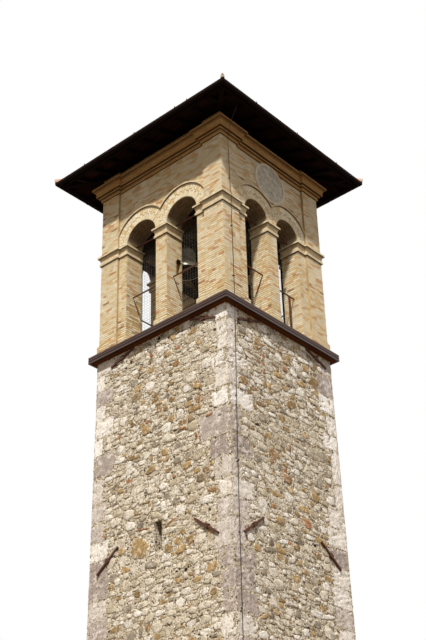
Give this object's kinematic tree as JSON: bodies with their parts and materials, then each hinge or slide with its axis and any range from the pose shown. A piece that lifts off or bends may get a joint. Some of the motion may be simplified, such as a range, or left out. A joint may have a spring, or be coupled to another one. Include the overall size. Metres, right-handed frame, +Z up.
{
  "type": "bell tower",
  "caption": "Square bell tower: battered rubble shaft, brick belfry with twin round arches on each side, moulded cornice, low hipped roof with wide eaves, and a bell that swings.",
  "frame": {"origin": "centre of the shaft's foot, on the ground", "axes": "+Z up; -Y is the front with the slit window, +X is the side with the round disc and the lightning conductor"},
  "size_m": [7.3366, 6.9566, 27.1423],
  "materials": {
    "rubble": "mortared rubble",
    "brick": "buff fired brick",
    "moulded_brick": "buff fired brick, moulded courses",
    "timber": "dark oiled timber",
    "floor_timber": "weathered planks",
    "ledge_timber": "weathered board",
    "sheet_metal": "dark brown painted sheet",
    "roof_tile": "fired clay tiles",
    "plaster": "grey-green plaster",
    "iron": "rusted wrought iron",
    "conductor": "weathered metal rod",
    "bronze": "verdigris bronze"
  },
  "bodies": {
    "tower": {"shaft_front_back_walls": "rubble", "shaft_side_walls": "rubble", "sill_course_front_back": "brick", "sill_course_sides": "brick", "belfry_floor": "floor_timber", "ledge_board": "ledge_timber", "ledge_flashing": "sheet_metal", "pier_bases": "brick", "corner_piers": "brick", "centre_piers": "brick", "corner_imposts": "moulded_brick", "centre_imposts": "moulded_brick", "upper_corner_pilasters": "brick", "front_arch_wall": "brick", "back_arch_wall": "brick", "left_arch_wall": "brick", "right_arch_wall": "brick", "hood_mouldings": "moulded_brick", "cornice_front_back": "moulded_brick", "cornice_sides": "moulded_brick", "wall_plates": "timber", "rafters": "timber", "hip_rafters": "timber", "ridge_beam": "timber", "roof_boards_front_back": "timber", "roof_boards_sides": "timber", "roof_tiles_front_back": "roof_tile", "roof_tiles_sides": "roof_tile", "hip_and_ridge_tiles": "roof_tile", "eaves_fillet": "timber", "gutters": "sheet_metal", "gutter_brackets": "sheet_metal", "wall_disc": "plaster", "tie_bars": "iron", "opening_rails": "iron", "anchor_bars": "iron", "lightning_conductor": "conductor", "conductor_clips": "iron", "bell_bearers": "timber", "bell_beams": "timber", "bell_bearings": "iron"},
    "bell": {"bell_headstock": "timber", "bell": "bronze", "bell_clapper": "iron"}
  },
  "joints": [
    {"name": "bell_swing", "type": "hinge", "parent": "tower", "child": "bell", "pos_m": [-0.2, -0.94, 23.15], "axis": [0, 1, 0], "range_deg": [-60, 60]}
  ]
}
